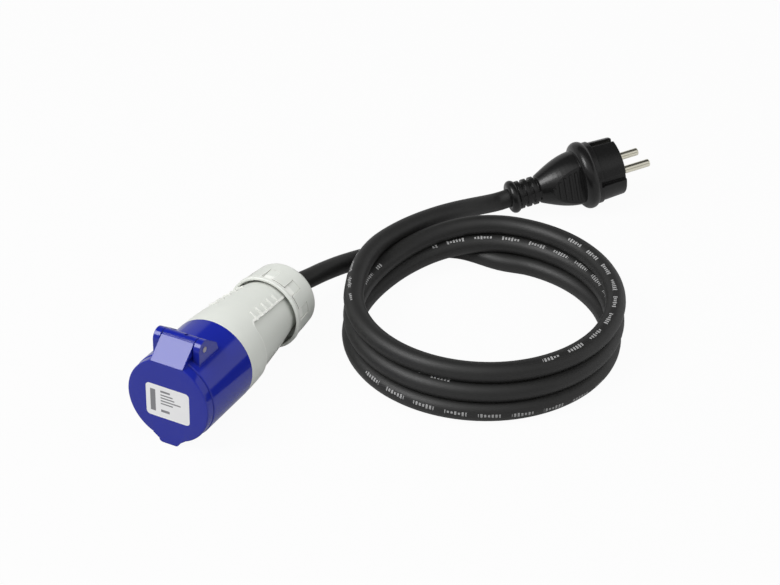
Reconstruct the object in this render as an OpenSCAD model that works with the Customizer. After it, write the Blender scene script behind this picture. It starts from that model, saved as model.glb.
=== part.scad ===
// Adapter lead: a socket connector with a sprung lid, a coil of rubber flex and a household plug.
// Millimetres. The connector lies on its lid tab and nut rim, with the coil and the plug beside it.
// The floor is at z = 0.
// In the connector's own frame y runs from the lid's face back along the axis, z is up and x is across.

/* [Lid] */
// Radius of the lid's disc, which the shell, the housing and the nut follow
lid_r = 25; // [23:0.5:27]
// Depth from the lid's face to the back edge of its rim
lid_depth = 5.5; // [5:0.1:6.5]
// Thickness of the lid's face
lid_wall = 3; // [2.4:0.1:3.4]
// Width of the lid's rim, seen from behind
rim_w = 2.6; // [2.2:0.1:3]
// Rounding of the lid's front edge
lid_edge = 2.4; // [2:0.1:2.8]
// Reach of the finger tab beyond the disc
tab_drop = 2.8; // [2.4:0.1:4]
// Half the width of the finger tab at its tip
tab_half = 6.2; // [5:0.2:7]
// Half the width of the finger tab where it grows out of the disc
tab_root = 10; // [9:0.2:10.4]
// Rounding of the tab's corners
tab_round = 2.2; // [1.4:0.2:2.4]
// Width of the sealing ring let into the rim
gasket_w = 1.4; // [1:0.1:1.6]
// Depth of the sealing ring
gasket_t = 1.5; // [1:0.1:2]
// Width of the sticker on the lid
label_w = 27; // [20:0.5:28]
// Height of the sticker on the lid
label_h = 20.2; // [14:0.2:22]
// Thickness of the sticker and depth of its recess
label_t = 0.3; // [0.2:0.1:0.5]
// Corner radius of the sticker
label_round = 2.4; // [1:0.2:4]
// Height of the sticker's middle above the axis
label_z = -1.6; // [-3:0.2:0]

/* [Hinge] */
// Hinge pin's distance behind the lid's face
pin_y = 15; // [14:0.2:16]
// Hinge pin's height above the lid's edge
pin_rise = 4; // [3.9:0.1:5]
// Radius of the hinge pin
pin_r = 1.6; // [1.4:0.1:1.8]
// Length of pin that shows outside each ear
pin_end = 0.3; // [0.2:0.1:0.8]
// Radius of the lid's hinge barrel
barrel_r = 5.2; // [4.8:0.1:5.2]
// Half the width of the lid's hinge barrel
barrel_half = 10; // [9:0.2:11]
// Depth of the neck's foot below the lid's edge
neck_foot = 1.2; // [0.4:0.1:1.6]
// Distance from the lid's face to the foot of its hinge panel
neck_set = 1; // [0.6:0.1:1.4]
// Angle round the pin at which the neck meets the barrel, from straight ahead upwards
neck_angle = 58; // [52:1:62]
// Radius of the groove between the neck and the barrel
neck_groove = 0.5; // [0.3:0.1:0.7]
// Width of each hinge ear
ear_w = 4; // [3:0.2:5]
// Radius of each ear round the pin
ear_r = 5.2; // [5:0.1:5.4]
// Distance from the pin back to the ear's knee
ear_knee = 12; // [10:0.5:12.5]
// Depth of the ear's knee below the pin
ear_drop = 2; // [1.5:0.1:2.5]
// Distance from the pin to the back of the ears
ear_back = 14; // [12.5:0.5:15]
// Wire radius of the lid spring
spring_wire = 0.5; // [0.4:0.05:0.6]
// Mean radius of the lid spring's turns
spring_r = 2.7; // [2.5:0.1:2.9]
// Turns in the lid spring
spring_turns = 7; // [5:1:8]

/* [Socket] */
// Height of the blue shell above the lid's edge
shell_lip = 0.4; // [0.2:0.1:0.8]
// Wall of the blue shell
shell_wall = 3; // [2.6:0.1:3.4]
// Chamfer of the front edges of the shell, the carrier and the nut
shell_edge = 0.5; // [0.3:0.1:0.7]
// Distance from the lid's face to the joint between shell and rear housing
split_y = 45; // [44:0.5:47]
// Thickness of the web behind the contact carrier
web_t = 3; // [2:0.2:4]
// Length of the spigot that enters the rear housing
spigot_l = 8; // [6:0.5:10]
// Step from the shell down to the spigot
spigot_step = 2.6; // [2.4:0.1:3]
// Wall of the spigot
spigot_wall = 2.4; // [2:0.1:2.8]
// Width of the keyway
key_w = 8; // [6:0.5:9]
// Depth of the keyway in the shell's wall
key_t = 1.6; // [1:0.1:1.8]
// Length of the keyway
key_l = 26; // [20:1:30]

/* [Contacts] */
// Room between the shell's wall and the contact carrier's nose
carrier_gap = 3.4; // [3:0.1:3.8]
// Distance from the lid's face to the carrier's face
carrier_y = 12; // [11:0.5:14]
// Thickness of the carrier's flange
flange_t = 3; // [2:0.2:4]
// Room between the spigot and the carrier's tail
tail_gap = 5.9; // [5.6:0.1:6.2]
// Length of the carrier's tail behind the web's front face
tail_l = 18; // [16:0.5:20]
// Distance from the tail's side to the contacts' axes
contact_edge = 5.5; // [5:0.1:6]
// Bore radius of the line and neutral contacts
live_bore = 2.5; // [2.4:0.05:2.6]
// Bore radius of the earth contact
earth_bore = 3; // [2.9:0.05:3.1]
// Wall of each contact tube
contact_wall = 0.8; // [0.6:0.1:1]
// Depth of each contact's bore
contact_l = 26; // [22:1:28]
// Contact's distance behind the carrier's face
contact_back = 2; // [1:0.5:3]
// Radius of the terminal screws
screw_r = 1.5; // [1.3:0.1:1.7]
// Distance from the web's front face to the terminal screws
screw_y = 12; // [11:0.5:13]
// Shank radius of the carrier's fixing screws
fixing_r = 1.4; // [1.2:0.1:1.6]
// Head radius of the fixing screws
fixing_head = 2.4; // [2:0.1:2.6]
// Head height of the fixing screws
fixing_head_t = 2; // [1.5:0.1:2.5]
// Length of the fixing screws in the carrier
fixing_l = 8; // [6:0.5:10]

/* [Rear housing] */
// Step from the blue shell down to the rear housing's collar
house_step = 0.2; // [0.1:0.1:0.4]
// Distance from the lid's face to where the housing starts to narrow
taper_y = 51; // [50:0.5:53]
// Distance from the lid's face to the housing's narrow end
taper_end = 104.6; // [104:0.2:105]
// How much the housing narrows, on the radius
taper_in = 6.4; // [6:0.1:6.6]
// Distance from the lid's face to the front edge of the side grips
grip_y = 62; // [60:0.5:64]
// Depth of the side grips at their front edge
grip_t = 2.2; // [1.4:0.1:2.4]
// Depth of the side grips at the nut
grip_end_t = 1.2; // [0.6:0.1:1.2]
// Half the height of the side grips in front
grip_front_h = 18.8; // [17:0.2:19.4]
// Half the height of the side grips at the nut
grip_end_h = 13.6; // [12:0.2:14]
// Rounding of the side grips' front corners
grip_round = 3; // [2:0.5:6]
// Distance from the lid's face to the first finger rib
rib_y = 68; // [66:0.5:69]
// Spacing of the finger ribs
rib_pitch = 6.3; // [5.5:0.1:6.6]
// Finger ribs in each row
rib_count = 5; // [3:1:5]
// Height of the finger ribs
rib_t = 0.7; // [0.3:0.1:0.9]
// Width of the finger ribs
rib_w = 1.1; // [0.8:0.1:1.5]
// Angle from the side to the middle of each row of ribs
rib_angle = 57; // [57:1:62]
// Angle that each finger rib spans
rib_span_angle = 15; // [12:1:16]
// Room round the seal's pocket at the end of the housing's inside
hollow_step = 1.6; // [1:0.1:2]
// Step from the housing's narrow end down to its threaded neck
neck_step = 1.6; // [1.3:0.1:1.8]
// Length of the threaded neck
neck_l = 7; // [6:0.5:8]
// Wall between the housing's inside and the seal's pocket
neck_web = 3; // [2:0.2:4]

/* [Cable gland] */
// Overlap of the nut's front rim over the housing's narrow end
nut_over = 4; // [3:0.1:4.4]
// Length of the nut
nut_l = 25.4; // [24:0.2:27]
// Wall of the nut over the thread
nut_wall = 4.6; // [4.4:0.1:4.8]
// Height of the nut's front rim above its body
nut_rim_h = 0.3; // [0.2:0.1:0.6]
// Thickness of the nut's front rim
nut_rim_t = 2.4; // [2:0.1:3]
// Depth of the groove behind the nut's front rim
nut_groove_t = 0.7; // [0.4:0.1:1]
// Width of the groove behind the nut's front rim
nut_groove_w = 0.8; // [0.5:0.1:1.2]
// Thickness of the nut's front lip
nut_lip_t = 1.6; // [1.2:0.1:1.8]
// Room between the housing's narrow end and the nut's mouth
nut_mouth_gap = 1.6; // [1.3:0.1:1.8]
// Depth of the nut's open mouth behind the housing's narrow end
nut_relief = 3; // [2:0.1:3.4]
// How much the nut's body narrows towards its back
nut_taper = 1.6; // [1:0.1:2]
// Rounding of the nut's back edge
nut_round = 4.5; // [3:0.5:6]
// Room between the flex and the nut's cable hole
exit_gap = 1; // [0.6:0.1:1.6]
// Length of the nut's cable hole
exit_l = 5; // [4:0.2:6]
// Grip notches round the nut
notch_count = 9; // [6:1:12]
// Angle that each grip notch spans
notch_angle = 18; // [12:1:19]
// Depth of the grip notches
notch_t = 1.2; // [0.6:0.1:1.4]
// Length of the grip notches
notch_l = 11; // [8:0.5:13]
// Wall of the rubber seal round the flex
seal_wall = 6.6; // [5.6:0.1:7]
// Length of the rubber seal
seal_l = 10.5; // [9.5:0.5:11.5]
// Room between the nut's thread and the clamp ring
clamp_step = 3; // [2.2:0.2:3.6]
// Length of the clamp ring
clamp_l = 6; // [5:0.2:7]
// Slots between the clamp ring's fingers
clamp_slots = 6; // [4:1:8]
// Width of the clamp ring's slots
clamp_slot_w = 1.6; // [1:0.1:2]

/* [Cable] */
// Diameter of the flex
cable_d = 11.6; // [10.8:0.1:12]
// Diameter of each insulated core
core_d = 3.8; // [3.2:0.1:3.9]
// Radius of the coil's middle line
coil_r = 75; // [73:0.5:76]
// Turns in the coil
coil_turns = 3; // [2:1:4]
// Rise from one turn to the next
coil_rise = 10.2; // [9.6:0.1:10.6]
// Place of the coil's middle
coil_x = 106.5; // [104:0.5:109]
// Place of the coil's middle along the connector
coil_y = 103.5; // [101:0.5:106]

/* [Plug] */
// Place of the plug's face across the connector
plug_x = 116.5; // [114:0.5:119]
// Place of the plug's face along the connector
plug_y = 278; // [276:0.5:280]
// Angle of the plug's turn seen from above, in degrees
plug_turn_angle = 45; // [43:0.5:47]
// Angle at which the plug's nose rises, in degrees
plug_rise_angle = 8.7; // [7:0.1:10]
// Angle of the plug's roll about its axis, in degrees
plug_roll_angle = 8; // [0:1:12]
// Radius of the plug's nose at its face
nose_r = 18.4; // [18:0.1:18.8]
// How much wider the nose is at the collar, on the radius
nose_flare = 0.6; // [0.2:0.1:0.8]
// Rounding of the nose's front edge
nose_edge = 1; // [0.6:0.1:1.4]
// Length of the plug's nose in front of the collar
nose_l = 18; // [17:0.5:19]
// Width of the step in front of the collar
collar_step_w = 2.4; // [2:0.1:3]
// Height of the step in front of the collar
collar_step_t = 0.9; // [0.6:0.1:1.2]
// Height of the round collar's ring above the nose's face edge
collar_in = 1.6; // [1.2:0.1:2]
// Section radius of the round collar
collar_round = 4.8; // [4.4:0.1:5]
// Distance from the plug's face to the middle of the collar
collar_back = 22.3; // [21.8:0.1:22.8]
// Distance from the plug's face to the back of the grip
grip_back = 53; // [51:0.5:55]
// Radius of the grip in front of the bend relief
grip_back_r = 9; // [8.8:0.1:9.6]
// Radius of the grip at the collar
grip_front_r = 17.4; // [17:0.1:18]
// Distance from the plug's axis to the flat side grips
flat_off = 12; // [11:0.1:12.4]
// Height of the ribs on the flat side grips
plug_rib_t = 0.8; // [0.4:0.1:1]
// Width of the ribs on the flat side grips
plug_rib_w = 1.7; // [1.2:0.1:2]
// Ribs on each flat side grip
plug_ribs = 5; // [3:1:6]
// Wall of the bend relief round the flex
relief_wall = 1.8; // [1.6:0.1:2.2]
// Height of the bend relief's rings
relief_ring_t = 1.3; // [0.8:0.1:1.5]
// Rings on the bend relief
relief_rings = 3; // [2:1:5]
// Width of the spines that join the bend relief's rings
spine_w = 4; // [3:0.2:5]
// Depth of the spines below the rings
spine_drop = 0.4; // [0.2:0.1:0.6]
// Distance from the plug's face to the middle of the end bead
bead_back = 70; // [69:0.5:71]
// Section radius of the end bead
bead_round = 3; // [2.6:0.1:3.2]
// Height of the end bead's ring above the flex
bead_wall = 1.6; // [1.2:0.1:2]
// Depth of the flex in the plug
cable_in_plug = 30; // [24:1:36]
// Radius of the plug's pins
prong_r = 2.4; // [2.3:0.05:2.45]
// Length of the pins in front of the plug's face
prong_l = 19; // [18.5:0.1:19.5]
// Distance between the pins' axes
prong_gap = 19; // [18.5:0.1:19.5]
// Length of the pins inside the plug
prong_in = 14; // [10:0.5:16]
// Step from each pin down to its tail inside the plug
prong_step = 0.4; // [0.2:0.1:0.6]
// Wall of the nose round the hard face insert
insert_wall = 4.6; // [4.4:0.1:5]
// Thickness of the hard face insert
insert_t = 4; // [3:0.2:5]
// Width of the earth clips
clip_w = 4.6; // [4:0.1:5]
// Thickness of the earth clips
clip_t = 0.9; // [0.7:0.1:1.2]
// Length of the earth clips along the nose
clip_l = 14; // [12:0.5:15]
// Depth at which the earth clips lie below the nose's surface
clip_sink = 2.8; // [2.4:0.1:3]
// Width of the side guide grooves
guide_w = 4.6; // [4.2:0.1:5.6]
// Depth of the side guide grooves
guide_t = 2.4; // [2:0.1:2.8]
// Length of the side guide grooves
guide_l = 17.5; // [14:0.5:17.5]

/* [Clearances] */
// Gap between the lid and the shell, and round pieces that are set in
lid_gap = 0.3; // [0.2:0.05:0.5]
// Gap between the lid's barrel and each ear
barrel_gap = 0.4; // [0.3:0.05:0.6]
// Gap between the hinge pin and the barrel, and between the spigot and the housing, on the radius
pin_gap = 0.08; // [0.03:0.01:0.1]
// Gap between the barrel and the shell's saddle, and round the spring
saddle_gap = 0.4; // [0.3:0.05:0.6]
// Gap round sliding and screwed pieces
slide_gap = 0.4; // [0.3:0.05:0.6]

/* [Hidden] */
$fn = 64;

blue = [0.13, 0.16, 0.55];
grey = [0.80, 0.82, 0.79];
black = [0.09, 0.09, 0.09];
brass = [0.78, 0.63, 0.33];
nickel = [0.80, 0.79, 0.75];

// Small overlap for cuts that pass a face and for solids that grow out of one another
over = 1;

// Lid and hinge
tab_reach = lid_r + tab_drop;
gasket_in = lid_r - (rim_w + gasket_w) / 2;
pin_z = lid_r + pin_rise;
ear_in = barrel_half + barrel_gap;
ear_out = ear_in + ear_w;
spring_step = 1.9 * spring_wire;
spring_leg_x = (spring_turns - 1) / 2 * spring_step;
// Slot in the barrel in which the lid swings past the spring's leg, from below the pin round its back
leg_slot_from = -80;
leg_slot_angle = 170;

// Shell, carrier and contacts
shell_r = lid_r + shell_lip;
shell_y = lid_depth + lid_gap;
bore_r = shell_r - shell_wall;
web_y = split_y - web_t;
spigot_r = shell_r - spigot_step;
spigot_in = spigot_r - spigot_wall;
spigot_y = split_y + spigot_l;
carrier_r = bore_r - carrier_gap;
flange_r = bore_r - lid_gap;
tail_r = spigot_in - tail_gap;
tail_y = web_y + tail_l;
contact_ring = tail_r - contact_edge;
fixing_x = (tail_r + spigot_in) / 2;

// Housing, nut and what is clamped in them
cable_r = cable_d / 2;
flex_hole = cable_r + slide_gap;
house_r = shell_r - house_step;
taper_r = house_r - taper_in;
neck_r = taper_r - neck_step;
neck_end = taper_end + neck_l;
seal_r = cable_r + seal_wall;
seal_y = neck_end - seal_l;
hollow_end_r = seal_r + hollow_step;
hollow_end_y = seal_y - neck_web;
sheath_y = hollow_end_y - cable_d;
thread_r = neck_r + slide_gap;
nut_r = thread_r + nut_wall;
nut_rim_r = nut_r + nut_rim_h;
nut_mouth = taper_r + nut_mouth_gap;
nut_back_r = nut_r - nut_taper;
nut_end_r = nut_back_r - nut_round;
nut_y = taper_end - nut_over;
nut_rim_back = nut_y + nut_rim_t;
nut_groove_back = nut_rim_back + nut_groove_w;
nut_step_y = taper_end + nut_relief;
nut_back = nut_y + nut_l;
exit_r = cable_r + exit_gap;
clamp_r = thread_r - clamp_step;
clamp_nose = (exit_r + clamp_r) / 2;
clamp_y = neck_end + slide_gap;
clamp_cone_y = clamp_y + clamp_l / 2;

// Plug
nose_base_r = nose_r + nose_flare;
collar_ring = nose_r - collar_in;
collar_step_r = nose_base_r + collar_step_t;
relief_r = cable_r + relief_wall;
relief_ring_r = relief_r + relief_ring_t;
spine_reach = relief_ring_r - spine_drop;
bead_ring = cable_r + bead_wall;
bead_end = bead_back + bead_round;
insert_r = nose_r - insert_wall;
prong_tail_r = prong_r - prong_step;
clip_reach = nose_r - clip_sink;

// The connector lies on the back edge of the tab and the back edge of the nut's rim
lean = atan((tab_reach - nut_rim_r) / (nut_rim_back - lid_depth));
axis_z = lid_depth * sin(lean) + tab_reach * cos(lean);
face_y = -(nut_back * cos(lean) + (nut_end_r - lid_r + lid_edge) * sin(lean)) / 2;

// Angles of the contacts seen from behind, from the x axis towards z
line_angle = 30;
neutral_angle = 150;
earth_angle = -90;

// Uncoiled stretches of the flex, after the straight run out of the nut and before the one into the plug
lead_out = [[3, 84, 19.5], [6, 99, 17], [10, 117, 13], [18, 137, 9], [34, 157, 6.6], [58, 171, 5.8],
    [84, 177, 5.8]];
lead_back = [[34, 84, 26.2], [30, 94, 26.5], [26, 109, 26.5], [24, 128, 26], [28, 149, 25], [36, 170, 23],
    [46, 191, 19.6]];
lead_sides = 12;
lead_steps = 3;
run_out = 10;

function on_axis(y) = [0, face_y + y * cos(lean), axis_z - y * sin(lean)];
function arc(mid, r, from, to, n = 6) =
    [for (i = [0:n]) mid + r * [cos(from + (to - from) * i / n), sin(from + (to - from) * i / n)]];
function steps(from, to, n) = [for (i = [0:n]) from + (to - from) * i / n];

// Outer radius of the rear housing, and radius of its side grips, at a distance behind the lid's face
taper_power = 1.35;
taper_bands = 10;
grip_cut_angle = 170;
function taper(y) = house_r - (house_r - taper_r)
    * pow(max(0, y - taper_y) / (taper_end - taper_y), taper_power);
function grip_floor(y) = taper(y) - grip_t + (grip_t - grip_end_t) * (y - grip_y) / (taper_end - grip_y);

// Radius of the plug's grip at a distance behind its face
grip_bands = 10;
grip_front = collar_back + collar_round - over;
function grip(d) = grip_back_r + (grip_front_r - grip_back_r)
    * sin(90 * (grip_back - d) / (grip_back - grip_front));

// Smooth run of points through the hand-placed ones
function blend(a, b, c, d, t) = 0.5 * (2 * b + (c - a) * t + (2 * a - 5 * b + 4 * c - d) * t * t
    + (3 * b - a - 3 * c + d) * t * t * t);
function smooth(p) = [for (i = [0:len(p) - 2], k = [0:lead_steps - 1])
    blend(p[max(0, i - 1)], p[i], p[i + 1], p[min(len(p) - 1, i + 2)], k / lead_steps), p[len(p) - 1]];
function unit(v) = v / norm(v);
function heading(p, i) = unit(p[min(len(p) - 1, i + 1)] - p[max(0, i - 1)]);

// Round tube along a run of points, closed at both ends
module tube(p, r, sides) {
    rings = [for (i = [0:len(p) - 1], k = [0:sides - 1])
        let (t = heading(p, i), side = unit(cross(t, [0, 0, 1])), up = cross(side, t))
        p[i] + r * (cos(360 * k / sides) * side + sin(360 * k / sides) * up)];
    walls = [for (i = [0:len(p) - 2], k = [0:sides - 1])
        let (m = (k + 1) % sides)
        [i * sides + k, (i + 1) * sides + k, (i + 1) * sides + m, i * sides + m]];
    start = [for (k = [0:sides - 1]) k];
    end = [for (k = [0:sides - 1]) len(rings) - 1 - k];
    polyhedron(rings, concat([start], walls, [end]), convexity = 8);
}

// Placing of the connector
module connector() translate([0, face_y, axis_z]) rotate([-lean, 0, 0]) children();
// Shapes turned about its axis from a profile of radius and y, whole or over part of a turn
module turned() rotate([-90, 0, 0]) rotate_extrude() children();
module turned_part(at, span)
    rotate([0, -at - span / 2, 0]) rotate([-90, 0, 0]) rotate_extrude(angle = span) children();
// Profiles of y and z run across, and profiles of x and z run along the axis
module across(from, to) translate([from, 0, 0]) rotate([90, 0, 90]) linear_extrude(to - from) children();
module along(from, to) translate([0, to, 0]) rotate([90, 0, 0]) linear_extrude(to - from) children();
module rod(from, to, r) translate([0, from, 0]) rotate([-90, 0, 0]) cylinder(r = r, h = to - from);
module at_contact(angle) translate([contact_ring * cos(angle), 0, contact_ring * sin(angle)]) children();
module outward(angle) translate([0, web_y + screw_y, 0]) rotate([0, 90 - angle, 0]) children();
module both_sides(x) for (side = [-1, 1]) translate([side * x, 0, 0]) children();
module round_pin(r) translate([pin_y, pin_z]) circle(r);

module rounded(w, h, r) {
    square([w - 2 * r, h], center = true);
    square([w, h - 2 * r], center = true);
    for (x = [-1, 1], y = [-1, 1]) translate([x * (w / 2 - r), y * (h / 2 - r)]) circle(r);
}

// Hinge ear seen from the side: a boss round the pin and a gusset that runs down to the shell
module ear_profile() {
    root_z = sqrt(pow(shell_r, 2) - pow(ear_out, 2)) - over / 2;
    reach = [ear_knee, -ear_drop];
    touch = atan2(reach[1], reach[0]) + acos(ear_r / norm(reach));
    round_pin(ear_r);
    polygon([[pin_y - ear_r, root_z], [pin_y - ear_r, pin_z], [pin_y, pin_z],
        [pin_y + ear_r * cos(touch), pin_z + ear_r * sin(touch)],
        [pin_y + ear_knee, pin_z - ear_drop],
        [pin_y + ear_back, root_z + over], [pin_y + ear_back, root_z]]);
}

module socket_shell() color(blue) connector() difference() {
    union() {
        turned() polygon([[bore_r, shell_y], [shell_r - shell_edge, shell_y],
            [shell_r, shell_y + shell_edge], [shell_r, split_y], [spigot_r, split_y],
            [spigot_r, spigot_y], [spigot_in, spigot_y], [spigot_in, split_y],
            [tail_r + lid_gap, split_y], [tail_r + lid_gap, web_y], [bore_r, web_y]]);
        across(-ear_out, -ear_in) ear_profile();
        across(ear_in, ear_out) ear_profile();
    }
    across(-ear_in, ear_in) round_pin(barrel_r + saddle_gap);
    across(-ear_out - over, ear_out + over) round_pin(pin_r);
    translate([-key_w / 2, shell_y - over, -bore_r - key_t]) cube([key_w, key_l + over, bore_r / 2]);
    both_sides(fixing_x) rod(web_y - over, split_y + over, fixing_r);
}

// Lid's hinge neck seen from the side: a flat panel up to the barrel, with a groove between them.
// Its underside clears the shell and meets the barrel at a share of the barrel's radius.
neck_root = 0.6;
module neck_profile() {
    foot = [neck_set, lid_r - neck_foot];
    under = shell_r + slide_gap;
    top = [pin_y - barrel_r * cos(neck_angle), pin_z + barrel_r * sin(neck_angle)];
    difference() {
        union() {
            round_pin(barrel_r);
            polygon([[foot[0], lid_r - barrel_r], foot, top, [pin_y, pin_z],
                [pin_y - neck_root * barrel_r, under], [lid_depth, under],
                [lid_depth, lid_r - barrel_r]]);
        }
        translate(top) circle(neck_groove);
    }
}

module tab_profile() {
    corner = tab_half - tab_round;
    polygon([[-tab_root, tab_round - lid_r], [-tab_half, tab_round - tab_reach],
        [tab_half, tab_round - tab_reach], [tab_root, tab_round - lid_r]]);
    translate([-corner, -tab_reach]) square([2 * corner, tab_round + over]);
    for (side = [-1, 1]) translate([side * corner, tab_round - tab_reach]) circle(tab_round);
}

module lid() color(blue) connector() difference() {
    pocket = spring_leg_x + spring_wire + saddle_gap;
    slot = spring_wire + saddle_gap;
    union() {
        turned() polygon(concat([[0, 0]], arc([lid_r - lid_edge, lid_edge], lid_edge, -90, 0),
            [[lid_r, lid_depth], [lid_r - rim_w, lid_depth], [lid_r - rim_w, lid_wall], [0, lid_wall]]));
        along(0, lid_depth) tab_profile();
        across(-barrel_half, barrel_half) neck_profile();
    }
    turned() translate([gasket_in, lid_depth - gasket_t]) square([gasket_w, gasket_t + over]);
    along(-over, label_t) translate([0, label_z]) rounded(label_w, label_h, label_round);
    across(-barrel_half - over, barrel_half + over) round_pin(pin_r + pin_gap);
    across(-pocket, pocket) round_pin(spring_r + spring_wire + saddle_gap);
    translate([spring_leg_x - slot, pin_y, pin_z]) rotate([90, 0, 90])
        rotate([0, 0, leg_slot_from]) rotate_extrude(angle = leg_slot_angle)
            translate([spring_r, 0]) square([barrel_r, 2 * slot]);
}

module lid_gasket() color(black) connector()
    turned() translate([gasket_in, lid_depth - gasket_t]) square([gasket_w, gasket_t]);

module lid_label() color("white") connector()
    along(0, label_t) translate([0, label_z]) rounded(label_w, label_h, label_round);

module hinge_pin() color(nickel) connector() across(-ear_out - pin_end, ear_out + pin_end) round_pin(pin_r);

// Closed turns round the pin, and one leg that bears on the shell's saddle
module lid_spring() color(nickel) connector() translate([0, pin_y, pin_z]) {
    leg = sqrt(pow(barrel_r + saddle_gap, 2) - pow(spring_r + spring_wire, 2)) - pin_gap;
    translate([-spring_leg_x, 0, 0]) rotate([0, 90, 0]) rotate_extrude()
        for (k = [0:spring_turns - 1]) translate([spring_r, k * spring_step]) circle(spring_wire, $fn = 24);
    translate([spring_leg_x, spring_r, -leg]) cylinder(r = spring_wire, h = leg, $fn = 24);
}

module contact_carrier() color(blue) connector() difference() {
    turned() polygon([[0, carrier_y], [carrier_r - shell_edge, carrier_y],
        [carrier_r, carrier_y + shell_edge], [carrier_r, web_y - flange_t], [flange_r, web_y - flange_t],
        [flange_r, web_y], [tail_r, web_y], [tail_r, tail_y], [0, tail_y]]);
    for (c = [[line_angle, live_bore], [neutral_angle, live_bore], [earth_angle, earth_bore]]) {
        at_contact(c[0]) rod(carrier_y - over, tail_y, c[1] + slide_gap);
        at_contact(c[0]) rod(carrier_y + contact_back, tail_y + over, c[1] + contact_wall);
        at_contact(c[0]) outward(c[0]) cylinder(r = screw_r, h = tail_r);
    }
    both_sides(fixing_x) rod(web_y - fixing_l, web_y + over, fixing_r);
}

module contact(angle, bore) color(brass) connector() at_contact(angle) difference() {
    front = carrier_y + contact_back;
    rod(front, tail_y, bore + contact_wall);
    rod(front - over, front + contact_l, bore);
    rod(tail_y - core_d * 2, tail_y + over, core_d / 2 + pin_gap);
    outward(angle) cylinder(r = screw_r, h = tail_r);
}

module contact_line() contact(line_angle, live_bore);
module contact_neutral() contact(neutral_angle, live_bore);
module contact_earth() contact(earth_angle, earth_bore);

module terminal_screws() color(nickel) connector() for (angle = [line_angle, neutral_angle, earth_angle]) {
    from = contact_ring + core_d / 2 + lid_gap;
    outward(angle) translate([0, 0, from]) cylinder(r = screw_r, h = tail_r - lid_gap - from);
}

module carrier_screws() color(nickel) connector() both_sides(fixing_x) {
    rod(web_y - fixing_l, split_y, fixing_r);
    rod(split_y, split_y + fixing_head_t, fixing_head);
}

// Side grip seen from the side: round corners in front, open towards the nut
module grip_profile() {
    end_y = taper_end + over;
    front = grip_front_h - grip_round;
    polygon(concat([[end_y, grip_end_h]],
        arc([grip_y + grip_round, front], grip_round, 90, 180),
        arc([grip_y + grip_round, -front], grip_round, 180, 270), [[end_y, -grip_end_h]]));
}

module rear_housing() color(grey) connector() difference() {
    grip_y0 = grip_y - over;
    union() {
        turned() polygon(concat([[spigot_r + pin_gap, split_y], [house_r, split_y]],
            [for (y = steps(taper_y, taper_end, taper_bands)) [taper(y), y]],
            [[neck_r, taper_end], [neck_r, neck_end], [seal_r, neck_end], [seal_r, seal_y],
            [flex_hole, seal_y], [flex_hole, hollow_end_y], [hollow_end_r, hollow_end_y],
            [spigot_in, spigot_y], [spigot_r + pin_gap, spigot_y]]));
        for (angle = [rib_angle, 180 - rib_angle], k = [0:rib_count - 1]) let (y = rib_y + k * rib_pitch)
            turned_part(angle, rib_span_angle)
                translate([taper(y) - 2 * rib_t, y - rib_w / 2]) square([3 * rib_t, rib_w]);
    }
    for (side = [0, 180]) rotate([0, side, 0]) intersection() {
        turned_part(0, grip_cut_angle) polygon(concat(
            [for (y = steps(grip_y0, taper_end, taper_bands)) [grip_floor(y), y]],
            [[house_r + over, taper_end], [house_r + over, grip_y0]]));
        across(over, house_r + 2 * over) grip_profile();
    }
}

module gland_nut() color(grey) connector() difference() {
    exit_y = nut_back - exit_l;
    turned() polygon(concat([[nut_rim_r - nut_lip_t, nut_y], [nut_rim_r - shell_edge, nut_y],
        [nut_rim_r, nut_y + shell_edge], [nut_rim_r, nut_rim_back], [nut_r - nut_groove_t, nut_rim_back],
        [nut_r - nut_groove_t, nut_groove_back], [nut_r, nut_groove_back]],
        arc([nut_end_r, nut_back - nut_round], nut_round, 0, 90),
        [[exit_r, nut_back], [exit_r, exit_y], [clamp_nose + slide_gap, exit_y],
        [clamp_r + slide_gap, clamp_cone_y], [thread_r, clamp_cone_y], [thread_r, nut_step_y + over],
        [nut_mouth, nut_step_y], [nut_mouth, nut_rim_back]]));
    for (k = [0:notch_count - 1]) turned_part(90 + k * 360 / notch_count, notch_angle)
        translate([nut_r - notch_t, nut_rim_back]) square([nut_r, notch_l]);
}

// Split ring that the nut squeezes on the flex
module clamp_ring() color(black) connector() difference() {
    turned() polygon([[flex_hole, clamp_y], [clamp_r, clamp_y], [clamp_r, clamp_cone_y],
        [clamp_nose, clamp_y + clamp_l], [flex_hole, clamp_y + clamp_l]]);
    for (k = [0:clamp_slots - 1]) rotate([0, k * 360 / clamp_slots, 0])
        translate([0, clamp_y + clamp_l / 3, -clamp_slot_w / 2])
            cube([clamp_r + over, clamp_l, clamp_slot_w]);
}

module gland_seal() color(black) connector()
    turned() translate([cable_r, seal_y]) square([seal_r - cable_r, seal_l]);

// Insulated core from the cut end of the sheath to its contact. In the flex it lies off the axis by a share
// of its own width.
core_lay = 0.75;
module core(angle, tint) color(tint) connector() {
    out = [cos(angle), 0, sin(angle)];
    lay = core_lay * core_d;
    tube(smooth([lay * out + [0, sheath_y, 0], lay * out + [0, sheath_y - core_d, 0],
        lay * out + [0, sheath_y - core_d * 2, 0],
        contact_ring * out + [0, tail_y + core_d * 2, 0], contact_ring * out + [0, tail_y, 0],
        contact_ring * out + [0, tail_y - core_d * 1.5, 0]]), core_d / 2, lead_sides);
}

module core_line() core(line_angle, "saddlebrown");
module core_neutral() core(neutral_angle, "royalblue");
module core_earth() core(earth_angle, "yellowgreen");

module cable_lead_connector() color(black) tube(smooth(concat(
    [on_axis(sheath_y), on_axis(nut_back), on_axis(nut_back + run_out)], lead_out)), cable_r, lead_sides);

module cable_coil() color(black) translate([coil_x, coil_y, 0]) rotate_extrude($fn = 128)
    for (k = [0:coil_turns - 1]) translate([coil_r, cable_r + k * coil_rise]) circle(cable_r);

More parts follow.
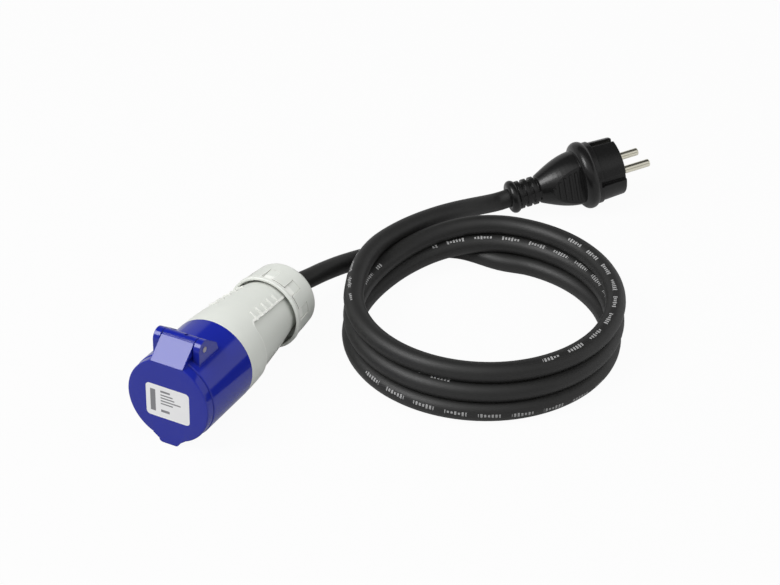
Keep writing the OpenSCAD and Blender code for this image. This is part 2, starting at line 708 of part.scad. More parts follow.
// Placing of the plug: its axis runs along its own z towards the pins, which lie along its own y
plug_z = collar_back * sin(plug_rise_angle) + collar_ring * cos(plug_rise_angle) + collar_round;
plug_dir = [cos(plug_rise_angle) * cos(plug_turn_angle), cos(plug_rise_angle) * sin(plug_turn_angle),
    sin(plug_rise_angle)];
function on_plug(d) = [plug_x, plug_y, plug_z] - d * plug_dir;
module plug() translate([plug_x, plug_y, plug_z]) rotate([0, 90 - plug_rise_angle, plug_turn_angle])
    rotate([0, 0, -plug_roll_angle]) children();

module cable_lead_plug() color(black) tube(smooth(concat(lead_back,
    [on_plug(bead_end + run_out), on_plug(bead_end), on_plug(bead_end - cable_in_plug)])),
    cable_r, lead_sides);

// Earth strips let into the nose above and below, joined by a bridge behind the face insert
module clip_outline() {
    for (side = [-1, 1]) translate([side * (clip_reach - clip_t / 2), 0, -clip_l / 2 - over])
        cube([clip_t, clip_w, clip_l], center = true);
    translate([0, 0, -prong_in / 2]) cube([2 * clip_reach - clip_t, clip_w, clip_t], center = true);
}

// Outline of the moulded plug from its face back to the bead at its tail, with the bend relief's rings over
// a share of their spacing
relief_fill = 0.5;
module plug_profile() {
    relief_l = bead_back - bead_round - grip_back;
    ring_step = relief_l / relief_rings;
    polygon(concat([[0, 0]], arc([nose_r - nose_edge, -nose_edge], nose_edge, 90, 0),
        [[nose_base_r, collar_step_w - nose_l], [collar_step_r, collar_step_w - nose_l],
        [collar_step_r, -nose_l - over],
        [collar_ring, -collar_back]],
        [for (d = steps(grip_front, grip_back, grip_bands)) [grip(d), -d]],
        [[relief_r, -grip_back - over], [relief_r, -bead_back], [bead_ring, -bead_end], [0, -bead_end]]));
    translate([collar_ring, -collar_back]) circle(collar_round);
    translate([bead_ring, -bead_back]) circle(bead_round);
    for (k = [1:relief_rings]) translate([relief_r - over, -grip_back - k * ring_step])
        square([relief_ring_t + over, ring_step * relief_fill]);
}

// Ribs on the flat side grips span a share of the flat's height
plug_rib_fill = 0.8;

module plug_body() color(black) plug() difference() {
    flat_front = collar_back + collar_round;
    flat_l = grip_back - flat_front;
    rib_step = flat_l / (plug_ribs + 2);
    union() {
        difference() {
            rotate_extrude() plug_profile();
            for (side = [-1, 1])
                translate([-collar_ring, side * (flat_off + collar_ring) - collar_ring, -grip_back])
                    cube([2 * collar_ring, 2 * collar_ring, flat_l]);
        }
        for (side = [-1, 1], k = [1:plug_ribs]) let (d = flat_front + k * rib_step)
            translate([0, side * flat_off, -d])
                cube([2 * plug_rib_fill * sqrt(max(pow(plug_rib_w, 2), pow(grip(d), 2) - pow(flat_off, 2))),
                    2 * plug_rib_t, plug_rib_w], center = true);
        translate([-spine_w / 2, -spine_reach, -bead_back])
            cube([spine_w, 2 * spine_reach, bead_back - grip_back]);
    }
    translate([0, 0, -insert_t]) cylinder(r = insert_r, h = insert_t + over);
    translate([0, 0, -bead_end - over]) cylinder(r = cable_r, h = cable_in_plug + over);
    for (side = [-1, 1]) {
        translate([0, side * prong_gap / 2, -prong_in]) cylinder(r = prong_tail_r, h = prong_in);
        translate([-guide_w / 2, side * nose_r - guide_t, -guide_l])
            cube([guide_w, 2 * guide_t, guide_l + over]);
        translate([side * nose_r, 0, -clip_l / 2])
            cube([2 * clip_sink, clip_w + 2 * slide_gap, clip_l + 2 * over], center = true);
    }
    clip_outline();
}

module plug_insert() color("dimgray") plug() difference() {
    translate([0, 0, -insert_t]) cylinder(r = insert_r, h = insert_t);
    for (side = [-1, 1]) translate([0, side * prong_gap / 2, -insert_t - over])
        cylinder(r = prong_tail_r, h = insert_t + 2 * over);
}

// Plug pin: a thinner tail held in the plug, and a round tip
module prong(side) color(nickel) plug() translate([0, side * prong_gap / 2, 0]) rotate_extrude()
    polygon(concat([[0, -prong_in], [prong_tail_r, -prong_in], [prong_tail_r, 0], [prong_r, 0],
        [prong_r, prong_l - prong_r / 2]],
        [for (a = [15:15:75]) [prong_r * cos(a), prong_l - prong_r / 2 * (1 - sin(a))]], [[0, prong_l]]));

module pin_line() prong(1);
module pin_neutral() prong(-1);
module earth_clip() color(nickel) plug() clip_outline();

socket_shell();
lid();
lid_gasket();
lid_label();
hinge_pin();
lid_spring();
contact_carrier();
contact_line();
contact_neutral();
contact_earth();
terminal_screws();
carrier_screws();
rear_housing();
gland_nut();
clamp_ring();
gland_seal();
core_line();
core_neutral();
core_earth();
cable_lead_connector();
cable_coil();
cable_lead_plug();
plug_body();
plug_insert();
pin_line();
pin_neutral();
earth_clip();
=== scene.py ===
import math
import bmesh
import bpy
from mathutils import Matrix, Vector


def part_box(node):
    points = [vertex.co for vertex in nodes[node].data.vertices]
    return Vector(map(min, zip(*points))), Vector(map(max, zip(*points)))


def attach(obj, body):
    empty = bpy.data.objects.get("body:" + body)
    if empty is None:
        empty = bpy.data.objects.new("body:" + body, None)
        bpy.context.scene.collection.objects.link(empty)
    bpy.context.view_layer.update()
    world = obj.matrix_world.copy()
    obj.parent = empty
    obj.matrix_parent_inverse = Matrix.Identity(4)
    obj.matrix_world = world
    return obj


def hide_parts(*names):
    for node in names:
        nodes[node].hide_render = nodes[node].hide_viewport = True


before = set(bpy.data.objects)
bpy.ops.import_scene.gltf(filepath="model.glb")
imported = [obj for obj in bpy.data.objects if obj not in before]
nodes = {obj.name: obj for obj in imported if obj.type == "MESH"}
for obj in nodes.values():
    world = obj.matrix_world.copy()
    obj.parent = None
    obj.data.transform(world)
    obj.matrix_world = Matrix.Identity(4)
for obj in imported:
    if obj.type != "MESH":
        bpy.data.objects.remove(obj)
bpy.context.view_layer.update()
scene = bpy.context.scene
scene.view_settings.view_transform = "Standard"
print("frame loaded:", len(nodes), "nodes")


def addObject(name, data):
    made = bpy.data.objects.new(name, data)
    scene.collection.objects.link(made)
    return made


# puts a camera or a lamp in its place and turns it to its target
def aimAt(made, setup):
    made.location = setup["place"]
    aim = Vector(setup["target"]) - Vector(setup["place"])
    made.rotation_euler = aim.to_track_quat("-Z", "Y").to_euler()


# camera, placed where the photograph was taken from
shot = {"place": (0.4945, -0.7595, 0.6797), "target": (0.0387, 0.1181, 0.0),
        "lens": 93.05, "sensor": 36, "nearest": 0.01}


def makeCamera(shot):
    data = bpy.data.cameras.new("camera")
    data.lens = shot["lens"]
    data.sensor_width = shot["sensor"]
    data.clip_start = shot["nearest"]
    camera = addObject("camera", data)
    aimAt(camera, shot)
    scene.camera = camera


makeCamera(shot)


# shader maths: a Wire is one socket, a Board is one node tree, and a Finish is the board of one material
class Wire:
    def __init__(self, board, socket):
        self.board = board
        self.socket = socket

    def calc(self, operation, *values):
        return self.board.node("ShaderNodeMath", {"operation": operation}, dict(enumerate(values)))

    def __add__(self, other):
        return self.calc("ADD", self, other)

    __radd__ = __add__

    def __sub__(self, other):
        return self.calc("SUBTRACT", self, other)

    def __rsub__(self, other):
        return self.calc("SUBTRACT", other, self)

    def __mul__(self, other):
        return self.calc("MULTIPLY", self, other)

    __rmul__ = __mul__

    def __truediv__(self, other):
        return self.calc("DIVIDE", self, other)

    def __mod__(self, other):
        return self.calc("FLOORED_MODULO", self, other)

    def __gt__(self, other):
        return self.calc("GREATER_THAN", self, other)

    def __lt__(self, other):
        return self.calc("LESS_THAN", self, other)

    def __abs__(self):
        return self.calc("ABSOLUTE", self)


class Board:
    def __init__(self, tree):
        self.tree = tree

    def feed(self, socket, value):
        if isinstance(value, Wire):
            self.tree.links.new(value.socket, socket)
        else:
            socket.default_value = value

    # any node: its type, its settings, what goes into its sockets, and which output is wanted
    def node(self, kind, settings=None, sockets=None, out=0):
        made = self.tree.nodes.new(kind)
        for key, value in (settings or {}).items():
            if key == "stops":
                self.setStops(made.color_ramp, value)
            else:
                setattr(made, key, value)
        for key, value in (sockets or {}).items():
            self.feed(made.inputs[key], value)
        return Wire(self, made.outputs[out])

    # a new ramp has two stops already
    def setStops(self, ramp, stops):
        for index, (at, colour) in enumerate(stops):
            stop = ramp.elements[index] if index < 2 else ramp.elements.new(at)
            stop.position = at
            stop.color = colour

    # two colours: sockets 6 and 7 of the Mix node, and its output 2
    def mix(self, share, first, second):
        return self.node("ShaderNodeMix", {"data_type": "RGBA"}, {0: share, 6: first, 7: second}, out=2)

    # 0 to 1 as a value goes from one bound to the other
    def ease(self, value, low, high):
        return self.node("ShaderNodeMapRange", {"interpolation_type": "SMOOTHSTEP"},
                         {"Value": value, "From Min": low, "From Max": high})

    def axes(self, vector):
        split = self.node("ShaderNodeSeparateXYZ", None, {0: vector}).socket.node
        return [Wire(self, split.outputs[k]) for k in range(3)]

    def surface(self, shader):
        self.feed([n for n in self.tree.nodes if n.type.startswith("OUTPUT")][0].inputs["Surface"], shader)


class Finish(Board):
    # the first count also sets how fine the painted shade in hollows and the painted highlight on thin edges
    # are
    hollowRays, edgeRays = 8, 6  # fineness of the hollows and of the eased edges

    def __init__(self, name, **fixed):
        self.material = bpy.data.materials.new(name)
        self.material.use_nodes = True
        super().__init__(self.material.node_tree)
        self.shader = self.tree.nodes["Principled BSDF"]
        self.place = self.node("ShaderNodeTexCoord", out="Object")
        for key, value in fixed.items():
            self.set(key, value)

    # Principled socket by name, with its spaces left out
    def set(self, key, value):
        for socket in self.shader.inputs:
            if socket.name.replace(" ", "").lower() == key.lower():
                self.feed(socket, value)
                return
        raise KeyError(key)

    def noise(self, size, detail=2.0):
        return self.node("ShaderNodeTexNoise", None,
                         {"Vector": self.place, "Scale": 1 / size, "Detail": detail})

    # share of short rays that meet something: a wall outside, or the far side of thin plastic inside
    def closed(self, reach, **settings):
        return 1 - self.node("ShaderNodeAmbientOcclusion", {"samples": self.hollowRays, **settings},
                             {"Distance": reach}, out="AO")

    # relief in metres, over edges that are eased by a small radius
    def relief(self, height, depth, ease):
        sockets = {"Height": height, "Distance": depth}
        if ease:
            sockets["Normal"] = self.node("ShaderNodeBevel", {"samples": self.edgeRays}, {"Radius": ease})
        self.set("Normal", self.node("ShaderNodeBump", None, sockets))


def rgb(red, green, blue):
    return (red, green, blue, 1.0)


# what the finishes share: two shades in clouds, a fine grain in the gloss and the relief, and eased edges
def startFinish(name, look):
    finish = Finish(name, **{key: look[key] for key in ("ior", "metallic") if key in look})
    cloud = finish.noise(look["cloud"])
    grain = finish.noise(look["grain"], look["detail"])
    share = cloud
    if "specks" in look:
        size, detail, part = look["specks"]
        share = cloud * (1 - part) + finish.noise(size, detail) * part
    colour = finish.mix(share, look["shade"], look["lit"])
    finish.set("BaseColor", colour)
    finish.set("Roughness", look["rough"] + look["roughGrain"] * grain + look["roughCloud"] * cloud)
    finish.relief(grain, look["depth"], look["ease"])
    return finish, colour


# plain finishes, with the sizes of cloud, grain, depth and eased edge in metres
blueLook = {"ior": 1.46, "shade": rgb(0.0085, 0.0165, 0.265), "lit": rgb(0.0105, 0.0195, 0.295),
            "cloud": 0.03, "grain": 0.0006, "detail": 3, "depth": 0.000006, "ease": 0.0004,
            "rough": 0.07, "roughGrain": 0.03, "roughCloud": 0.04}
rubberLook = {"ior": 1.45, "cloud": 0.02, "grain": 0.0007, "detail": 4,
              "specks": (0.004, 5, 0.4),  # size, detail and share of the colour
              "roughGrain": 0.14, "roughCloud": -0.05}
metalLook = {"metallic": 1.0, "cloud": 0.004, "grain": 0.0004, "detail": 3, "depth": 0.00001,
             "roughGrain": 0.10, "roughCloud": 0}
coreLook = {"ior": 1.5, "cloud": 0.004, "grain": 0.004, "detail": 2, "depth": 0.00002, "ease": 0,
            "rough": 0.32, "roughGrain": 0.1, "roughCloud": 0}
plainLooks = {
    "bluePlastic": blueLook,
    "plugRubber": {**rubberLook, "ior": 1.40, "rough": 0.19, "depth": 0.00003, "ease": 0.0006,
                   "shade": rgb(0.006, 0.006, 0.006), "lit": rgb(0.011, 0.011, 0.011)},
    "sealRubber": {**rubberLook, "rough": 0.55, "depth": 0.00004, "ease": 0,
                   "shade": rgb(0.010, 0.010, 0.010), "lit": rgb(0.020, 0.020, 0.020)},
    "blackPlastic": {**rubberLook, "rough": 0.36, "depth": 0.00002, "ease": 0.0003,
                     "shade": rgb(0.010, 0.010, 0.011), "lit": rgb(0.016, 0.016, 0.017)},
    "brightSteel": {**metalLook, "rough": 0.30, "ease": 0.0003,
                    "shade": rgb(0.50, 0.46, 0.49), "lit": rgb(0.58, 0.54, 0.57)},
    "nickelPlate": {**metalLook, "rough": 0.16, "ease": 0.0003,
                    "shade": rgb(0.92, 0.89, 0.74), "lit": rgb(0.97, 0.94, 0.80)},
    "turnedBrass": {**metalLook, "rough": 0.26, "ease": 0.0002,
                    "shade": rgb(0.72, 0.50, 0.20), "lit": rgb(0.80, 0.60, 0.30)},
    "brownCore": {**coreLook, "shade": rgb(0.14, 0.05, 0.02), "lit": rgb(0.18, 0.07, 0.03)},
    "blueCore": {**coreLook, "shade": rgb(0.04, 0.16, 0.50), "lit": rgb(0.06, 0.20, 0.56)},
    "greenCore": {**coreLook, "shade": rgb(0.16, 0.36, 0.03), "lit": rgb(0.45, 0.50, 0.03)}}
finishes = {name: startFinish(name, look)[0].material for name, look in plainLooks.items()}


# grey plastic: painted highlight, paler where its edges and ribs are thin, and painted shade, darker in its
# hollows and creases, faint on the housing and strong on the nut
greyLook = {"ior": 1.47, "shade": rgb(0.612, 0.632, 0.590), "lit": rgb(0.664, 0.684, 0.642),
            "cloud": 0.025, "grain": 0.0005, "detail": 3, "depth": 0.00003, "ease": 0.0004,
            "rough": 0.40, "roughGrain": 0.10, "roughCloud": 0,
            # painted highlight: a paler colour where the plastic is thinner than this reach, on edges and
            # ribs
            "edge": rgb(0.80, 0.81, 0.77), "edgeReach": 0.0012, "edgeThin": (0.1, 0.5),
            # painted shade: a darker colour where short rays meet other surfaces within this reach, with its
            # strength for each finish
            "dust": rgb(0.25, 0.25, 0.21), "dustReach": 0.0025, "dustDeep": (0.15, 0.8),
            "dustShare": {"housingPlastic": 0.2, "nutPlastic": 0.9}}


def makeGreyPlastic(name, look):
    finish, colour = startFinish(name, look)
    # painted highlight: paler where short rays inside the plastic reach its far side, on thin edges and ribs
    thin = finish.ease(finish.closed(look["edgeReach"], inside=True, only_local=True), *look["edgeThin"])
    # painted shade: darker where short rays meet nearby surfaces, as in hollows, creases and between parts
    paintedShadeMask = finish.ease(finish.closed(look["dustReach"]), *look["dustDeep"])
    withPaintedHighlight = finish.mix(thin, colour, look["edge"])
    finish.set("BaseColor", finish.mix(look["dustShare"][name] * paintedShadeMask, withPaintedHighlight, look["dust"]))
    return finish.material


# bare sticker with a few plain bars, laid out across and up its own box
filmLook = {"ior": 1.45, "shade": rgb(0.74, 0.74, 0.75), "lit": rgb(0.80, 0.80, 0.80),
            "cloud": 0.01, "grain": 0.0008, "detail": 2, "depth": 0.000008, "ease": 0,
            "rough": 0.38, "roughGrain": 0, "roughCloud": 0.08,
            "ink": rgb(0.20, 0.20, 0.21),
            "bars": (  # left, right, top and bottom, in shares of the sticker
                (0.10, 0.22, 0.84, 0.16), (0.34, 0.56, 0.86, 0.80), (0.34, 0.62, 0.74, 0.70),
                (0.34, 0.66, 0.65, 0.61), (0.34, 0.80, 0.56, 0.52), (0.34, 0.62, 0.47, 0.43),
                (0.34, 0.54, 0.26, 0.18))}


def makeWhiteFilm(look):
    low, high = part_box("lid_label")
    finish, paper = startFinish("whiteFilm", look)
    x, _, z = finish.axes(finish.place)
    across = (x - low[0]) / (high[0] - low[0])
    up = (z - low[2]) / (high[2] - low[2])
    bars = [(across > left) * (across < right) * (up < top) * (up > bottom)
            for left, right, top, bottom in look["bars"]]
    finish.set("BaseColor", finish.mix(sum(bars), paper, look["ink"]))
    return finish.material


# cable: its print is a broken line of small pale bars that follows the cord's own length
cableLook = {"ior": 1.47, "shade": rgb(0.008, 0.008, 0.008), "lit": rgb(0.015, 0.015, 0.0145),
             "cloud": 0.02, "grain": 0.0007, "detail": 4, "depth": 0.00004, "ease": 0,
             "rough": 0.44, "roughGrain": 0.16, "roughCloud": -0.05,
             "print": rgb(0.40, 0.40, 0.40), "share": 0.75,
             "height": 0.036, "least": 0.45,  # half a tall bar in turns, and a short bar's share of it
             "mark": (0.0019, 0.0011, 0), "word": (0.0172, 0.0114, 0),  # pitch, length and start in metres
             "run": (0.28, 0.147, 0.05),
             "winding": (  # metres along the cord, and where the line is round it, in turns
                 (0, 0.25), (0.28, 0.42), (0.36, 0.47), (0.45, 0.565), (0.62, 0.81), (0.735, 0.838),
                 (0.83, 0.75), (0.90, 0.737), (0.937, 0.833), (1.19, 0.83), (1.24, 0.76),
                 (1.314, 0.694), (1.46, 0.69), (1.50, 0.59), (1.70, 0.40))}


def makeCableRubber(look):
    finish, rubber = startFinish("cableRubber", look)
    along = finish.node("ShaderNodeAttribute", {"attribute_name": "along"}, out="Fac")
    ring = finish.node("ShaderNodeAttribute", {"attribute_name": "ring"}, out="Vector")
    inward, down, _ = finish.axes(ring)
    around = inward.calc("ARCTAN2", down, inward) / (2 * math.pi)
    reach = look["winding"][-1][0]
    stops = [(at / reach, rgb(turn, turn, turn)) for at, turn in look["winding"]]
    line = finish.node("ShaderNodeValToRGB", {"stops": stops}, {0: along / reach})
    off = abs((around - line + 0.5) % 1.0 - 0.5)  # turns from the line, the short way round
    chance = finish.node("ShaderNodeTexWhiteNoise", {"noise_dimensions": "1D"},
                         {"W": along.calc("FLOOR", along / look["mark"][0])})
    marks = off < look["height"] * (look["least"] + (1 - look["least"]) * chance)
    for key in ("mark", "word", "run"):
        pitch, length, start = look[key]
        marks = marks * (((along - start) % pitch) < length)
    finish.set("BaseColor", finish.mix(marks * look["share"], rubber, look["print"]))
    return finish.material


for name in greyLook["dustShare"]:
    finishes[name] = makeGreyPlastic(name, greyLook)
finishes["whiteFilm"] = makeWhiteFilm(filmLook)
finishes["cableRubber"] = makeCableRubber(cableLook)

nodeFinishes = {
    "bluePlastic": ("socket_shell", "lid", "contact_carrier"),
    "housingPlastic": ("rear_housing",),
    "nutPlastic": ("gland_nut",),
    "whiteFilm": ("lid_label",),
    "sealRubber": ("lid_gasket", "gland_seal", "cable_lead_connector", "cable_coil", "cable_lead_plug"),
    "blackPlastic": ("clamp_ring", "plug_insert"),
    "plugRubber": ("plug_body",),
    "brightSteel": ("hinge_pin", "lid_spring", "terminal_screws", "carrier_screws"),
    "turnedBrass": ("contact_line", "contact_neutral", "contact_earth"),
    "nickelPlate": ("pin_line", "pin_neutral", "earth_clip"),
    "brownCore": ("core_line",),
    "blueCore": ("core_neutral",),
    "greenCore": ("core_earth",)}
for finishName, nodeNames in nodeFinishes.items():
    for name in nodeNames:
        nodes[name].data.materials.clear()
        nodes[name].data.materials.append(finishes[finishName])
print("materials on", sum(len(names) for names in nodeFinishes.values()), "nodes")


# cord: the route of the part's flex, in metres, with the coil's turns by a loop
cord = {
    "diameter": 0.0116, "sides": 28, "step": 0.004, "cuts": 12,  # cuts between two points of the route
    "nut": ((0, 0.0391, 0.0226), (0, 0.0631, 0.0213), (0, 0.0731, 0.0207)),
    "leadOut": ((0.003, 0.084, 0.0195), (0.006, 0.099, 0.017), (0.010, 0.117, 0.013),
                (0.018, 0.137, 0.009), (0.034, 0.157, 0.0066), (0.058, 0.171, 0.0058)),
    "coilMid": (0.1065, 0.1035), "coilRadius": 0.075, "startAngle": 106.7, "sweep": 990.0, "perTurn": 24,
    "turns": (  # shift to the side and back, height, and how much wider than the coil
        (0.0006, -0.0035, 0.0058, -0.0008), (0.0, 0.0002, 0.016, -0.0004),
        (-0.0016, 0.0041, 0.0262, -0.0002)),
    "climb": 0.22,  # share of a turn spent rising to the next one
    "leadBack": ((0.0307, 0.094, 0.0265), (0.0274, 0.109, 0.0265), (0.0269, 0.128, 0.026),
                 (0.0314, 0.149, 0.025), (0.0386, 0.170, 0.023), (0.0473, 0.191, 0.0196)),
    "plug": ((0.0587, 0.2202, 0.0122), (0.0658, 0.2273, 0.0137), (0.0868, 0.2483, 0.0183))}


def coilPoints(cord):
    points = []
    turns, climb = cord["turns"], cord["climb"]
    last = len(turns) - 1
    count = round(cord["sweep"] / 360 * cord["perTurn"])
    for k in range(count + 1):
        gone = cord["sweep"] / 360 * k / count
        turn = min(int(gone), last)
        rise = max(0.0, (gone - turn - 1 + climb) / climb)
        rise = rise * rise * (3 - 2 * rise)
        x, y, z, wider = (a + (b - a) * rise for a, b in zip(turns[turn], turns[min(turn + 1, last)]))
        angle = math.radians(cord["startAngle"] - 360 * gone)
        out = (cord["coilRadius"] + wider) * Vector((math.cos(angle), math.sin(angle), 0))
        points.append(Vector((*cord["coilMid"], 0)) + out + Vector((x, y, z)))
    return points


# smooth curve through the points, then even spacing along it
def smoothRoute(points, step, cuts):
    fine = []
    for i in range(len(points) - 1):
        a, b, c, d = (points[min(max(i + k, 0), len(points) - 1)] for k in (-1, 0, 1, 2))
        for k in range(cuts):
            t = k / cuts
            fine.append(0.5 * (2 * b + (c - a) * t + (2 * a - 5 * b + 4 * c - d) * t ** 2
                               + (3 * b - a - 3 * c + d) * t ** 3))
    fine.append(points[-1])
    route, left = [fine[0]], step
    for a, b in zip(fine, fine[1:]):
        run = (b - a).length
        while run >= left:
            a = a + (b - a) * (left / run)
            route.append(a)
            run, left = (b - a).length, step
        left -= run
    route.append(fine[-1])
    return route


# node tree: a line of edges becomes a round tube that keeps its length and its ring's points
def tubeTree():
    tree = bpy.data.node_groups.new("tubeAlongLine", "GeometryNodeTree")
    sockets = (
        ("Geometry", "INPUT", "NodeSocketGeometry"), ("Radius", "INPUT", "NodeSocketFloat"),
        ("Sides", "INPUT", "NodeSocketInt"), ("Material", "INPUT", "NodeSocketMaterial"),
        ("Geometry", "OUTPUT", "NodeSocketGeometry"))
    for name, way, kind in sockets:
        tree.interface.new_socket(name, in_out=way, socket_type=kind)
    make = tree.nodes.new
    given, result = make("NodeGroupInput"), make("NodeGroupOutput")
    line, ring = make("GeometryNodeMeshToCurve"), make("GeometryNodeCurvePrimitiveCircle")
    upright, sweep = make("GeometryNodeSetCurveNormal"), make("GeometryNodeCurveToMesh")
    keepLength, keepRing = make("GeometryNodeStoreNamedAttribute"), make("GeometryNodeStoreNamedAttribute")
    lengthOf, pointOf = make("GeometryNodeSplineParameter"), make("GeometryNodeInputPosition")
    smooth, paint = make("GeometryNodeSetShadeSmooth"), make("GeometryNodeSetMaterial")
    realize = make("GeometryNodeRealizeInstances")
    upright.mode = "Z_UP"
    keepLength.inputs["Name"].default_value = "along"
    keepRing.data_type = "FLOAT_VECTOR"
    keepRing.inputs["Name"].default_value = "ring"
    sweep.inputs["Fill Caps"].default_value = True
    links = (
        (given, "Geometry", line, "Mesh"), (line, "Curve", upright, "Curve"),
        (upright, "Curve", keepLength, "Geometry"), (lengthOf, "Length", keepLength, "Value"),
        (given, "Radius", ring, "Radius"), (given, "Sides", ring, "Resolution"),
        (ring, "Curve", keepRing, "Geometry"), (pointOf, "Position", keepRing, "Value"),
        (keepLength, "Geometry", sweep, "Curve"), (keepRing, "Geometry", sweep, "Profile Curve"),
        (sweep, "Mesh", smooth, "Geometry"), (smooth, "Geometry", realize, "Geometry"),
        (realize, "Geometry", paint, "Geometry"), (given, "Material", paint, "Material"),
        (paint, "Geometry", result, "Geometry"))
    for giver, output, taker, socket in links:
        tree.links.new(giver.outputs[output], taker.inputs[socket])
    return tree


# runs a tree on a host mesh and leaves its result as a plain mesh object
def runTree(name, tree, host, inputs):
    piece = addObject(name, host)
    modifier = piece.modifiers.new("build", "NODES")
    modifier.node_group = tree
    for item in tree.interface.items_tree:
        if item.in_out == "INPUT" and item.name in inputs:
            modifier[item.identifier] = inputs[item.name]
    piece.update_tag()
    bpy.context.view_layer.update()
    made = bpy.data.meshes.new_from_object(piece.evaluated_get(bpy.context.evaluated_depsgraph_get()))
    piece.modifiers.remove(modifier)
    piece.data = made
    made.name = name
    return piece


def makeCord(cord):
    points = [Vector(p) for p in cord["nut"] + cord["leadOut"]] + coilPoints(cord)
    points += [Vector(p) for p in cord["leadBack"] + cord["plug"]]
    route = smoothRoute(points, cord["step"], cord["cuts"])
    line = bpy.data.meshes.new("cordLine")
    line.from_pydata([tuple(p) for p in route], [(i, i + 1) for i in range(len(route) - 1)], [])
    flex = runTree("flex", tubeTree(), line, {
        "Radius": cord["diameter"] / 2, "Sides": cord["sides"], "Material": finishes["cableRubber"]})
    length = sum((b - a).length for a, b in zip(route, route[1:]))
    print("flex of", round(length, 3), "m")
    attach(flex, "connector")
    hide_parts("cable_lead_connector", "cable_coil", "cable_lead_plug")


makeCord(cord)


# lid: the part's own shape, with its front edge drawn tighter so that the tab and the hinge panel run into it
lidMould = {"middle": (0, -0.0627307, 0.0280576), "lean": 3.1115, "radius": 0.025,
            "packed": 0.0024, "drawn": 0.0007, "crease": 30,  # rounding as packed and as drawn here
            "half": 0.01, "tabTop": -0.0228,  # half width of the hinge panel and of the tab's root
            "panelFoot": (0.001, 0.0238), "panelTop": (0.012244, 0.03341),  # depth and height
            "near": 0.00003, "merge": 0.000001}  # how close counts as on the shape, and as the same point


def makeLid(mould):
    place = Matrix.Translation(mould["middle"]) @ Matrix.Rotation(-math.radians(mould["lean"]), 4, "X")
    away = place.inverted()
    rim, packed, drawn, near = (mould[key] for key in ("radius", "packed", "drawn", "near"))
    foot = Vector(mould["panelFoot"])
    rise = (Vector(mould["panelTop"]) - foot).normalized()
    crossing = foot.y - foot.x * rise.y / rise.x  # height at which the panel meets the face
    shape = bmesh.new()
    shape.from_mesh(nodes["lid"].data)
    bmesh.ops.remove_doubles(shape, verts=shape.verts, dist=mould["merge"])
    for vert in shape.verts:
        x, depth, z = away @ vert.co
        reach = math.hypot(x, z)
        out, ahead = reach - rim + packed, packed - depth
        inside = abs(x) < mould["half"] + near
        off = min(abs(rise.cross(Vector((depth, z)) - foot)), abs(depth - foot.x))
        if inside and crossing - packed < z < rim + near and off < near:
            vert.co = place @ Vector((x, 0, crossing))  # foot of the panel
            continue
        if min(out, ahead) < -near or abs(math.hypot(out, ahead) - packed) > near:
            continue  # not on the rounding
        reached = rim - drawn + drawn * out / packed
        if inside:
            z = math.copysign(math.sqrt(reached ** 2 - x ** 2), z)
            z = min(max(z, mould["tabTop"]), crossing)
        else:
            x, z = x * reached / reach, z * reached / reach
        vert.co = place @ Vector((x, drawn - drawn * ahead / packed, z))
    mesh = bpy.data.meshes.new("lidMoulding")
    shape.to_mesh(mesh)
    shape.free()
    if "custom_normal" in mesh.attributes:
        mesh.attributes.remove(mesh.attributes["custom_normal"])
    mesh.shade_smooth()
    mesh.set_sharp_from_angle(angle=math.radians(mould["crease"]))
    mesh.materials.append(finishes["bluePlastic"])
    piece = addObject("lidMoulding", mesh)
    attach(piece, "lid_body")
    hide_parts("lid")
    print("lid of", len(mesh.polygons), "faces")


makeLid(lidMould)


# white floor that keeps a faint shadow, and a studio of bright low walls under a dark ceiling
pureWhite = rgb(1, 1, 1)
studio = {"floorSize": 6.0, "floorWhite": 0.45, "floorRough": 0.9, "floorGlow": 0.955, "floorShine": 0.20,
          "wallRight": 0.80, "wallLeft": 0.50, "wallSide": (-0.10, 0.25),
          "wallFront": 0.35, "wallTurn": (-0.45, 0.05),
          "wallTop": (0.485, 0.545),  # sines of the angles over which the wall ends
          "ceiling": 0.04, "canopy": 1.05, "canopyEdge": (-0.30, 0.10),  # the front of the ceiling is lit
          "canopyFade": 0.35, "canopySide": (0.05, 0.45)}
lamps = {
    "key": {"place": (-0.593, -0.636, 0.996), "target": (0, 0, 0.03), "size": (0.7, 0.7), "power": 12.5,
            "mirrored": True},
    "fill": {"place": (1.02, 0.16, 1.0), "target": (0.03, 0.08, 0.02), "size": (0.9, 0.9), "power": 5.2,
             "mirrored": False},
    "top": {"place": (0.15, 0.15, 1.4), "target": (0.05, 0.10, 0.0), "size": (1.2, 1.2), "power": 4.0,
            "mirrored": False}}


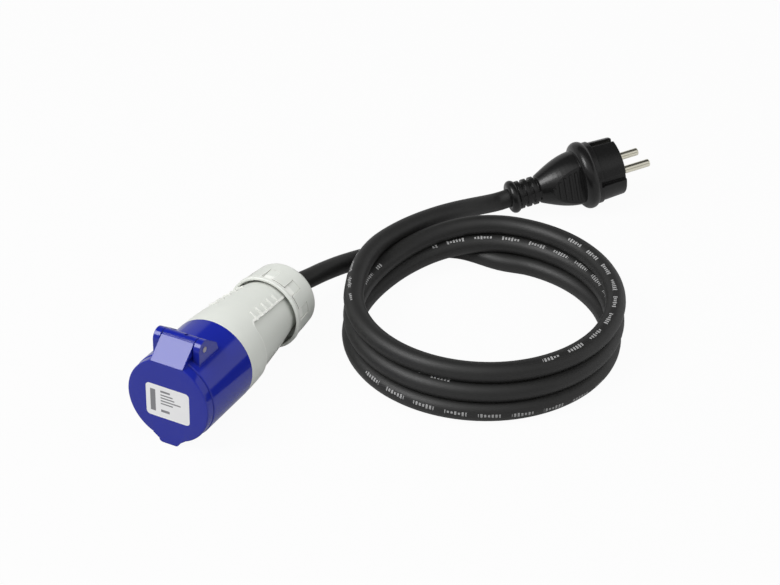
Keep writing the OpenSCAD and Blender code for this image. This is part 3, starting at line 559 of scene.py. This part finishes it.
def makeFloor(studio):
    half = studio["floorSize"] / 2
    mesh = bpy.data.meshes.new("floor")
    corners = [(-half, -half, 0), (half, -half, 0), (half, half, 0), (-half, half, 0)]
    mesh.from_pydata(corners, [], [(0, 1, 2, 3)])
    floor = addObject("floor", mesh)
    finish = Finish("floorWhite", roughness=studio["floorRough"], basecolor=rgb(*[studio["floorWhite"]] * 3))
    glow = finish.node("ShaderNodeEmission", None, {"Color": pureWhite, "Strength": 1.0})
    seen = finish.node("ShaderNodeLightPath", out="Is Camera Ray")
    shine = finish.node("ShaderNodeLightPath", out="Is Glossy Ray")
    finish.surface(finish.node("ShaderNodeMixShader", None, {
        0: seen * studio["floorGlow"] + shine * studio["floorShine"],
        1: Wire(finish, finish.shader.outputs[0]), 2: glow}))
    mesh.materials.append(finish.material)


def makeLamp(name, lamp):
    data = bpy.data.lights.new(name, "AREA")
    data.shape = "RECTANGLE"
    data.size, data.size_y = lamp["size"]
    data.energy = lamp["power"]
    made = addObject(name, data)
    aimAt(made, lamp)
    made.visible_glossy = lamp["mirrored"]


def makeWorld(studio):
    world = bpy.data.worlds.new("studio")
    scene.world = world
    world.use_nodes = True
    board = Board(world.node_tree)
    x, y, z = board.axes(board.node("ShaderNodeTexCoord", out="Generated"))
    above = board.ease(z, *studio["wallTop"])
    behind = board.ease(y, *studio["canopyEdge"])
    canopy = studio["canopy"] * (1 - studio["canopyFade"] * board.ease(x, *studio["canopySide"]))
    over = canopy + (studio["ceiling"] - canopy) * behind
    right = board.ease(x, *studio["wallSide"])
    turned = board.ease(y, *studio["wallTurn"])
    back = studio["wallLeft"] + (studio["wallRight"] - studio["wallLeft"]) * right
    wall = studio["wallFront"] * (1 - turned) + back * turned
    light = wall * (1 - above) + over * above
    room = board.node("ShaderNodeBackground", None, {"Color": pureWhite, "Strength": light})
    backdrop = board.node("ShaderNodeBackground", None, {"Color": pureWhite, "Strength": 1.0})
    seen = board.node("ShaderNodeLightPath", out="Is Camera Ray")
    board.surface(board.node("ShaderNodeMixShader", None, {0: seen, 1: room, 2: backdrop}))


makeFloor(studio)
makeWorld(studio)
for name, lamp in lamps.items():
    makeLamp(name, lamp)
print("studio ready")
